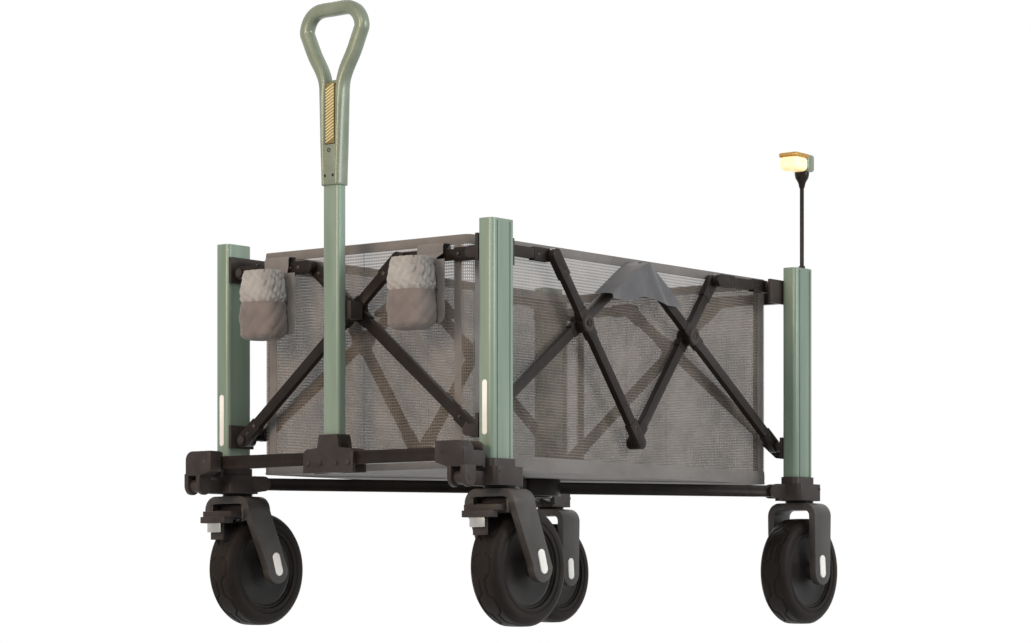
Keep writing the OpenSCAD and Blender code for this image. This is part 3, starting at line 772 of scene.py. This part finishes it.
def make_fork(quarter):
    """One bent strap over the wheel, with its swivel plate, axle and, in front, the brake's lugs."""
    sx, node = QUARTERS[quarter][0], fork_of(quarter)
    low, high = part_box(node)
    axle = middle_of("wheel_" + quarter)
    middle_y = (low.y + high.y) / 2
    body = frame["nodes"][node]["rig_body"]
    half, thick, bend, round_r = 47 * MM, 12 * MM, 22 * MM, 23 * MM
    top, crown = 204 * MM, 25 * MM
    crown_x = axle.x - (44 * MM if sx < 0 else 0)
    path = [(-half, axle.z - round_r * cos(pi * k / 24)) for k in range(13)]
    rise = top - bend
    path += [(-half, axle.z + (rise - axle.z) * k / 10) for k in range(1, 11)]
    for k in range(1, 13):
        turn = pi / 2 * k / 12
        path.append((-half + bend * (1 - cos(turn)), rise + bend * sin(turn)))
    path += [(y, top) for y in (-12 * MM, 0)]
    path += [(-y, z) for y, z in reversed(path[:-1])]
    points = []
    for number, (y, z) in enumerate(path):
        way = heading(path, number)
        inward = Vector((way.y, -way.x))
        share = min(max((z - axle.z) / (rise - axle.z), 0), 1)
        centre_x = axle.x + (crown_x - axle.x) * share
        wide = round_r + (crown - round_r) * share
        if z < axle.z:
            wide = sqrt(max(round_r**2 - (axle.z - z) ** 2, (1.5 * MM) ** 2))
        for x, deep in ((-wide, 0), (wide, 0), (wide, thick), (-wide, thick)):
            at = Vector((y, z)) + inward * deep
            points.append(Vector((centre_x + x, middle_y + at.x, at.y)))
    last = 4 * (len(path) - 1)
    faces = ring_faces(len(path) - 1, 4) + [(0, 1, 2, 3), (last, last + 1, last + 2, last + 3)]
    strap = clean(mesh_piece("fork", points, faces), 0.001 * MM)
    round_edges(strap, 1.8 * MM, 3, 50)
    finish(strap, node + "_strap", body, FORK)
    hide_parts(node)
    plate = mm_pairs(
        (0, 3.8), (22, 3.8), (24, 2.8), (24, 1.6), (21.5, 1.2), (24.5, 0.6), (24.5, -0.4), (0, -0.4)
    )
    swivel = turned(plate, (crown_x, middle_y, top), (0, 0, 1), 48)
    finish(swivel, node + "_swivel", body, FRAME)
    rod = mm_pairs((0, -36), (5.6, -36), (6, -35), (6, 35), (5.6, 36), (0, 36))
    pin = turned(rod, (axle.x, middle_y, axle.z), (0, 1, 0), 32)
    finish(pin, node + "_axle", body, STEEL)
    if sx < 0:
        for number, face in enumerate((-1, 1)):
            near, far = sorted((middle_y + face * 30.6 * MM, middle_y + face * 35.2 * MM))
            lug = box_between(
                (crown_x - 25 * MM, near, 168 * MM), (crown_x - 11 * MM, far, 193 * MM), 1.6 * MM
            )
            finish(lug, f"{node}_lug_{number}", body, FORK)
        housing = box_between(
            (crown_x - 6 * MM, middle_y - 34.8 * MM, 178 * MM),
            (crown_x + 14 * MM, middle_y + 34.8 * MM, 192 * MM), 2 * MM,
        )
        finish(housing, node + "_housing", body, PLASTIC)


def make_axle_caps():
    """White oval caps on both faces of each fork, lying along its arms."""
    for quarter, (sx, _) in QUARTERS.items():
        fork, axle = fork_of(quarter), middle_of("wheel_" + quarter)
        low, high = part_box(fork)
        lean = radians(18) if sx < 0 else radians(4)
        for face in (-1, 1):
            middle_y = (low.y + high.y) / 2
            at = Vector((axle.x - 2 * MM, middle_y + face * 47.6 * MM, axle.z + 8 * MM))
            cap = pill(at, (0, face, 0), 38 * MM, 15.5 * MM, 3.0 * MM)
            centre = at.copy()
            for v in cap.data.vertices:
                flat = Vector((v.co.x - centre.x, v.co.z - centre.z))
                upright = pi / 2 + lean
                v.co.x = centre.x + flat.x * cos(upright) - flat.y * sin(upright)
                v.co.z = centre.z + flat.x * sin(upright) + flat.y * cos(upright)
            side = "right" if face < 0 else "left"
            body = frame["nodes"][fork]["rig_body"]
            finish(cap, f"axle_cap_{quarter}_{side}", body, WHITE)


# ---------------------------------------------------------------- pouches


def finish_web(piece, kind, side):
    mark_cloth(piece, [(v.co.y, v.co.z, 0.0) for v in piece.data.vertices])
    finish(piece, kind + side, "pouch_" + side, HEM)


def make_pouch(side):
    sy = SIDES[side]
    low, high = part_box("pouch_" + side)
    centre = (low + high) / 2
    half_x, half_y = (high.x - low.x) / 2, (high.y - low.y) / 2
    height = high.z - low.z
    around = 88

    def shell(name, from_share, to_share, profile, crumple, slack, material, bottom):
        rows = 30
        points, places = [], []

        def ring(share, shrink):
            width = profile(share) * shrink
            for k in range(around):
                angle = 2 * pi * k / around
                c, s = cos(angle), sin(angle)
                square = (abs(c) ** 2.7 + abs(s) ** 2.7) ** (-1 / 2.7)
                dent = slack * (1 - crumple(angle, share))
                reach = width * square - dent
                points.append(
                    Vector(
                        (
                            centre.x + c * half_x * reach, centre.y + s * half_y * reach,
                            low.z + share * height,
                        )
                    )
                )
                places.append((angle * half_y, share * height, 0.0))

        shares = [from_share + (to_share - from_share) * k / rows for k in range(rows + 1)]
        for share in shares:
            ring(share, 1.0)
        inner = list(reversed(shares))
        for share in inner[: rows if bottom else rows + 1]:
            ring(max(share, from_share + 0.012), 0.955)
        count = len(points) // around
        faces = ring_faces(count - 1, around)
        last = (count - 1) * around
        if bottom:
            faces.append(tuple(reversed(range(around))))
            faces.append(tuple(range(last, last + around)))
        else:
            for k in range(around):
                a, b = last + k, last + (k + 1) % around
                faces.append((a, b, (k + 1) % around, k))
        piece = mesh_piece(name, points, faces)
        mark_cloth(piece, places)
        face_outwards(piece, 70)
        finish(piece, name, "pouch_" + side, material)
        return piece

    def cup(share):
        foot = max(0, 0.09 - share) / 0.09
        rim = 0.05 * exp(-(((share - 0.47) / 0.018) ** 2))
        return 0.93 + 0.06 * sin(pi * min(share / 0.5, 1.0)) - 0.26 * foot**2.4 + rim

    def neck(share):
        tuck = 0.12 * max(0, (0.53 - share) / 0.07)
        return 0.97 - tuck - 0.16 * max(0, (share - 0.6) / 0.3) ** 1.6

    def folds(angle, share):
        slant = abs(sin(2.5 * angle + 9 * share + 0.9 * sin(2 * angle))) ** 0.7
        fine = abs(sin(4.5 * angle - 13 * share + 1)) ** 0.8
        return (0.65 * slant + 0.35 * fine) * (1 if share < 0.43 else max(0.2, (0.5 - share) / 0.07))

    def crinkles(angle, share):
        sharp = abs(sin(6 * angle + 8 * share + 1.2 * sin(23 * share))) ** 0.6
        fine = abs(sin(11 * angle - 15 * share + sin(3 * angle))) ** 0.7
        return 0.6 * sharp + 0.4 * fine

    lower = shell("pouch_cup_" + side, 0.0, 0.49, cup, folds, 0.12, TAUPE, True)
    shell("pouch_neck_" + side, 0.44, 0.9, neck, crinkles, 0.19, PALE, False)
    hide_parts("pouch_" + side)
    link_out, link_in = (-420 * MM, -408 * MM) if sy < 0 else (-433 * MM, -421 * MM)
    path = [
        (high.x - 1.4 * MM, 538 * MM), (min(high.x - 1.4 * MM, link_out - 3.2 * MM), 548 * MM),
        (link_out - 3.2 * MM, 556 * MM), (link_out - 3.2 * MM, 567 * MM), (link_out - 1.4 * MM, 571 * MM),
        (link_in + 1.2 * MM, 571 * MM), (link_in + 1.9 * MM, 566 * MM), (link_in + 1.9 * MM, 547 * MM),
    ]
    thick, outer = 1.1 * MM, []
    for number, (x, z) in enumerate(path):
        way = heading(path, number)
        outer.append((x - way.y * thick, z + way.x * thick))
    strap = prism(path + outer[::-1], centre.y - 25 * MM, centre.y + 25 * MM, "y", 0.2 * MM)
    finish_web(strap, "pouch_strap_", side)
    outer, inner, foot = centre.y - half_y - 0.5 * MM, centre.y + half_y - 4 * MM, low.z + 9 * MM
    outline = [(inner, 546 * MM), (outer, 546 * MM)]
    for a in range(180, 271, 15):
        turn = radians(a)
        outline.append((outer + 12 * MM * (1 + cos(turn)), foot + 12 * MM * (1 + sin(turn))))
    for a in range(270, 361, 15):
        turn = radians(a)
        outline.append((inner - 12 * MM * (1 - cos(turn)), foot + 12 * MM * (1 + sin(turn))))
    back = prism(outline, high.x - 1.8 * MM, high.x - 0.2 * MM, "x", 0.5 * MM)
    finish_web(back, "pouch_back_", side)


# ---------------------------------------------------------------- small hardware


def screw(name, centre, direction, radius, body):
    height = 0.9 * MM
    outline = ((0, 0.35), (0.42, 0.35), (0.5, 1), (0.82, 1), (1, 0.5), (1, -0.6), (0, -0.6))
    profile = [(out * radius, up * height) for out, up in outline]
    piece = turned(profile, centre, direction, 18)
    return finish(piece, name, body, SCREW)


def make_hub_caps():
    """Concentric discs over the crossings of the side scissors."""
    profile = mm_pairs(
        (0, 1.2), (3.2, 1.2), (3.8, 0.5), (6.6, 0.5), (7.4, 1.7), (11.6, 1.9), (13.2, 0.9),
        (13.6, -0.5), (0, -0.5)
    )
    for quarter, (sx, sy) in QUARTERS.items():
        bar = ("steep_bar_" if sx < 0 else "long_bar_") + quarter
        at = (sx * SIDE_CROSS.x, sy * OUTER_FACE, SIDE_CROSS.y)
        cap = turned(profile, at, (0, sy, 0), 48)
        finish(cap, "crossing_cap_" + quarter, bar, PLASTIC)


def end_screws(quarter, sx, sy):
    """Pairs of screws near the joints of the end scissors."""
    for kind in ("end_bar_", "end_link_"):
        low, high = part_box(kind + quarter)
        inner = abs(low.x + high.x) / 2 < END_INNER_FACE + 0.5 * MM
        face = sx * (END_INNER_FACE if inner else END_OUTER_FACE)
        if kind == "end_bar_":
            foot, head = Vector((sy * END_LOW.x, END_LOW.y)), Vector((sy * END_TOP.x, END_TOP.y))
            way = (head - foot).normalized()
            spots = (foot + way * 16 * MM, foot + way * 33 * MM, head - way * 16 * MM, head - way * 33 * MM)
        else:
            side = 1 if low.y + high.y > 0 else -1
            spots = [Vector((side * y * MM, 554 * MM)) for y in (216, 199, 108, 125)]
        for number, spot in enumerate(spots):
            at = (face + sx * 0.1 * MM, spot.x, spot.y)
            screw(f"{kind}screw_{quarter}_{number}", at, (sx, 0, 0), 2.9 * MM, kind + quarter)


def prism(outline, low, high, along, edge):
    """An outline pushed along X, given as (y, z), or along Y, given as (x, z)."""
    points = []
    for depth in (low, high):
        for a, b in outline:
            points.append(Vector((depth, a, b) if along == "x" else (a, depth, b)))
    n = len(outline)
    faces = [tuple(range(n)), tuple(range(2 * n - 1, n - 1, -1))]
    faces += [(k, (k + 1) % n, (k + 1) % n + n, k + n) for k in range(n)]
    piece = clean(mesh_piece("prism", points, faces), 0.001 * MM)
    return round_edges(piece, edge, 3, 35)


def make_lugs():
    """The rounded boots that hold the crossbar's ends and hinge on the front blocks."""
    for side, sy in SIDES.items():
        node = "yoke_lug_" + side
        body = frame["nodes"][node]["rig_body"]
        low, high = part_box(node)
        ear_x, ear_z, ear_r = low.x + 14 * MM, 218 * MM, 14 * MM
        top = high.z
        arc = [
            (0.5 * MM + ear_r * cos(radians(a)), top - ear_r + ear_r * sin(radians(a)))
            for a in range(0, 91, 10)
        ]
        front = [(14.5 * MM, 233 * MM)] + arc + [(-40 * MM, top), (-40 * MM, 240 * MM), (-17 * MM, 233 * MM)]
        rear = [(14.5 * MM, 233 * MM)] + arc + [(-18 * MM, top), (-18 * MM, 233 * MM)]
        parts = []
        for outline, near, far in ((front, low.x, -480 * MM), (rear, -459.4 * MM, high.x)):
            turned_out = [(sy * (POST_Y + o), z) for o, z in outline]
            parts.append(prism(turned_out, near, far, "x", 2.6 * MM if outline is front else 1.2 * MM))
        wall = sorted((sy * (POST_Y + 12.2 * MM), sy * (POST_Y + 14.3 * MM)))
        parts.append(box_between((-482 * MM, wall[0], 235 * MM), (-457 * MM, wall[1], 258 * MM), 0.6 * MM))
        cheek = [(ear_x + ear_r, 237 * MM)]
        for a in range(0, -181, -12):
            turn = radians(a)
            cheek.append((ear_x + ear_r * cos(turn), ear_z + ear_r * sin(turn)))
        cheek.append((ear_x - ear_r, 237 * MM))
        for inner, outer in ((8.5 * MM, 16.5 * MM), (-16.5 * MM, -8.5 * MM)):
            near, far = sorted((sy * (POST_Y + inner), sy * (POST_Y + outer)))
            parts.append(prism(cheek, near, far, "y", 1.6 * MM))
        for number, piece in enumerate(parts):
            finish(piece, f"{node}_part_{number}", body, PLASTIC)
        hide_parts(node)
        screw(node + "_screw", (low.x, sy * (POST_Y - 26 * MM), 255 * MM), (-1, 0, 0), 3 * MM, body)


def make_screws():
    for quarter, (sx, sy) in QUARTERS.items():
        block = "post_" + quarter
        at = (sx * (POST_X + 25 * MM), sy * (POST_Y + 28 * MM), 228 * MM)
        screw(f"block_screw_{quarter}_0", at, (0, sy, 0), 2.6 * MM, block)
        at = (sx * (POST_X + 34 * MM), sy * (POST_Y - 22 * MM), 224 * MM)
        screw(f"block_screw_{quarter}_1", at, (sx, 0, 0), 2.6 * MM, block)
        end_screws(quarter, sx, sy)
        steep_face = OUTER_FACE if sx < 0 else INNER_FACE
        long_face = INNER_FACE if sx < 0 else OUTER_FACE
        runs = {
            "long_bar_": (SIDE_LOW, SIDE_TOP, long_face),
            "steep_bar_": (SIDE_ELBOW, SIDE_CENTRE, steep_face),
            "side_link_": (SIDE_LINK, SIDE_ELBOW, long_face),
        }
        for bar, (start, end, face) in runs.items():
            way = (end - start).normalized()
            for number, spot in enumerate((start + way * 31 * MM, end - way * 31 * MM)):
                at = (sx * spot.x, sy * (face - 0.3 * MM), spot.y)
                screw(f"{bar}screw_{quarter}_{number}", at, (0, sy, 0), 2.4 * MM, bar + quarter)
    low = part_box("handle_bracket")[0]
    for number, y in enumerate((-40 * MM, -16 * MM, 16 * MM, 40 * MM)):
        screw(f"bracket_screw_{number}", (low.x, y, 247 * MM), (-1, 0, 0), 3 * MM, "handle")


def make_reflectors():
    for side, sy in SIDES.items():
        at = (-(POST_X + (POST_HIGH.x - POST_LOW.x) / 2), sy * POST_Y, 323 * MM)
        strip = pill(at, (-1, 0, 0), 81 * MM, 9 * MM, 1.6 * MM)
        for v in strip.data.vertices:
            across, up = v.co.y - at[1], v.co.z - at[2]
            if abs(across) > 12 * MM or abs(up) < 5 * MM and abs(across) > 5 * MM:
                v.co.y, v.co.z = at[1] + up, at[2] + across
        finish(strip, "reflector_" + side, "post_front_" + side, WHITE)


def smooth_line(points, steps):
    """Points on a smooth line through the given ones, each any length of tuple."""
    padded = [points[0], *points, points[-1]]
    line = []
    for k in range(1, len(padded) - 2):
        p0, p1, p2, p3 = (Vector(p) for p in padded[k - 1 : k + 3])
        for step in range(steps):
            t = step / steps
            line.append(
                0.5 * (2 * p1 + (p2 - p0) * t + (2 * p0 - 5 * p1 + 4 * p2 - p3) * t * t
                + (3 * p1 - p0 - 3 * p2 + p3) * t**3)
            )
    return line + [Vector(points[-1])]


def make_grip():
    """The closed loop, whose legs run down beside the insert as the sleeve's rounded edges."""
    tube_low, tube_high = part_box("handle_tube")
    insert_low, insert_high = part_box("grip_insert")
    low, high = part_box("grip")
    middle = (tube_low.x + tube_high.x) / 2
    deep = (high.x - low.x) / 2
    loop = 10.8 * MM
    bar_z = high.z - loop
    knee_z, knee_y = bar_z - 45.5 * MM, high.y - 13.6 * MM
    leg = [
        (12.6 * MM, low.z, 5.4 * MM, deep), (13.4 * MM, low.z + 30 * MM, 5.6 * MM, deep),
        (14.6 * MM, insert_low.z, 5.8 * MM, deep),
        (16.0 * MM, insert_high.z - 25 * MM, 7.2 * MM, deep - 0.4 * MM),
        (17.6 * MM, insert_high.z + 2 * MM, 8.6 * MM, deep - 1.4 * MM),
        (25.0 * MM, insert_high.z + 22 * MM, 10.2 * MM, deep - 2.2 * MM),
        (38.5 * MM, insert_high.z + 45 * MM, loop, deep - 2.6 * MM),
        (knee_y - 1.4 * MM, knee_z + 4 * MM, loop, deep - 2.7 * MM),
    ]
    arc_y, arc_z, arc_r = knee_y - 29.4 * MM, bar_z - 32 * MM, 32 * MM
    for degrees in (2, 24, 46, 68, 90):
        turn = radians(degrees)
        leg.append((arc_y + arc_r * cos(turn), arc_z + arc_r * sin(turn), loop, deep - 2.7 * MM))
    whole = leg + [(0, bar_z, loop, deep - 2.7 * MM)] + [(-y, z, a, b) for y, z, a, b in reversed(leg)]
    line = smooth_line(whole, 6)
    around, points = 32, []
    for number, (y, z, wide, thick) in enumerate(line):
        way = heading(line, number)
        side = Vector((way.y, -way.x))
        for k in range(around):
            angle = 2 * pi * k / around
            c, s = cos(angle), sin(angle)
            full = (abs(c) ** 2.5 + abs(s) ** 2.5) ** (-1 / 2.5)
            at = Vector((y, z)) + side * (wide * c * full)
            points.append(Vector((middle + thick * s * full, at.x, at.y)))
    last = (len(line) - 1) * around
    faces = ring_faces(len(line) - 1, around)
    faces += [tuple(range(around)), tuple(range(last, last + around))]
    loop_piece = clean(mesh_piece("grip_loop", points, faces), 0.001 * MM)
    round_edges(loop_piece, 0.5 * MM, 2, 60)
    finish(loop_piece, "grip_loop", "handle", GREEN_GRIP)
    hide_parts("grip")
    top = insert_high.z + 6 * MM
    core = box_between((middle - 1 * MM, -14 * MM, low.z), (middle + deep - 1 * MM, 14 * MM, top), 1.6 * MM)
    finish(core, "grip_core", "handle", GREEN_GRIP)
    plate = box_between(
        (middle - deep + 0.5 * MM, -13 * MM, low.z), (middle, 13 * MM, insert_low.z - 1.2 * MM), 0.8 * MM
    )
    finish(plate, "grip_plate", "handle", GREEN_GRIP)
    face = middle - deep + 0.5 * MM
    # the insert panel takes the darker cream: painted shade in the recess between the ribs
    insert = box_between(
        (face + 2.2 * MM, insert_low.y + 0.6 * MM, insert_low.z),
        (middle, insert_high.y - 0.6 * MM, insert_high.z), 0.7 * MM,
    )
    finish(insert, "grip_insert_panel", "handle", CREAM_PAINTED_SHADE)
    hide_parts("grip_insert")
    for number, y in enumerate((-8 * MM, 8 * MM)):
        screw(f"grip_screw_{number}", (face, y, low.z + 14 * MM), (-1, 0, 0), 2.3 * MM, "handle")
    rim = mm_pairs((1.9, 0.5), (3.2, 0.4), (3.4, -0.6), (1.6, -0.6))
    eyelet = turned(rim, (face, 0, insert_low.z - 10 * MM), (-1, 0, 0), 24)
    finish(eyelet, "grip_eyelet", "handle", SCREW)


def make_grip_ribs():
    """Slanting ribs on the cream insert of the handle."""
    low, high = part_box("grip_insert")
    grip_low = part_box("grip")[0]
    low.x = grip_low.x + 2.7 * MM
    count, rise = 18, 8 * MM
    pitch = (high.z - low.z - rise) / count
    half = (high.y - low.y) / 2 - 0.6 * MM
    points, faces = [], []
    for k in range(count):
        foot = low.z + (k + 0.25) * pitch
        first = len(points)
        for out, grow in ((0.2 * MM, 0.0), (-1.0 * MM, 0.22)):
            for y, z in (
                (half, foot + grow * pitch * 0.5), (-half, foot + rise + grow * pitch * 0.5),
                (-half, foot + rise + pitch * (0.62 - grow * 0.5)),
                (half, foot + pitch * (0.62 - grow * 0.5)),
            ):
                points.append(Vector((low.x + out, y, z)))
        faces += [tuple(first + q for q in quad) for quad in ((0, 1, 2, 3), (7, 6, 5, 4))]
        for j in range(4):
            a, b = first + j, first + (j + 1) % 4
            faces.append((a, b, b + 4, a + 4))
    ribs = clean(mesh_piece("ribs", points, faces), 0.001 * MM)
    finish(ribs, "grip_ribs", "handle", CREAM)


def make_pedal_tabs():
    for side in SIDES:
        low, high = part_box("brake_pedal_" + side)
        middle = (low.y + high.y) / 2
        tab = box_between(
            (low.x + 3 * MM, middle - 14 * MM, high.z - 36 * MM),
            (low.x + 6 * MM, middle + 14 * MM, high.z - 16 * MM), 1.0 * MM,
        )
        finish(tab, "brake_tab_" + side, "brake_pedal_" + side, STEEL)


def make_lamp():
    low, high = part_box("lamp_head")
    length = high.x - low.x
    split = low.x + 0.68 * length
    shade = box_between((low.x, low.y, low.z), (split, high.y, high.z - 5 * MM), 9 * MM, 6)
    finish(shade, "lamp_shade", "lamp", GLOW)
    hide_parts("lamp_head")
    lid = box_between((low.x + 0.6 * MM, low.y, high.z - 8 * MM), (split + 2 * MM, high.y, high.z), 3 * MM, 4)
    finish(lid, "lamp_lid", "lamp", GOLD)
    near, far = (split - 5 * MM, low.y + 0.4 * MM, low.z + 1 * MM), (high.x, high.y - 0.4 * MM, high.z)
    body = box_between(near, far, 5 * MM, 5)
    finish(body, "lamp_body", "lamp", GREEN_GRIP)
    stem_low, stem_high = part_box("lamp_stem")
    at = Vector(((stem_low.x + stem_high.x) / 2, (stem_low.y + stem_high.y) / 2, low.z))
    flare = mm_pairs((0, 0.6), (12, 0.6), (12.5, -2), (11, -9), (6.4, -17), (4.3, -26), (0, -26))
    neck = turned(flare, at, (0, 0, 1), 40)
    finish(neck, "lamp_neck", "lamp", FRAME)


# ---------------------------------------------------------------- the whole wagon

make_camera()
make_studio()
for node_name in sorted(frame["nodes"]):
    if not node_name.startswith(REPLACED_BY_NEW):
        refined_node(node_name)
make_tub()
make_flaps()
for quarter_name in QUARTERS:
    make_wheel(quarter_name)
    make_fork(quarter_name)
make_axle_caps()
for side_name in SIDES:
    make_pouch(side_name)
make_hub_caps()
make_lugs()
make_screws()
make_reflectors()
make_grip()
make_grip_ribs()
make_pedal_tabs()
make_lamp()
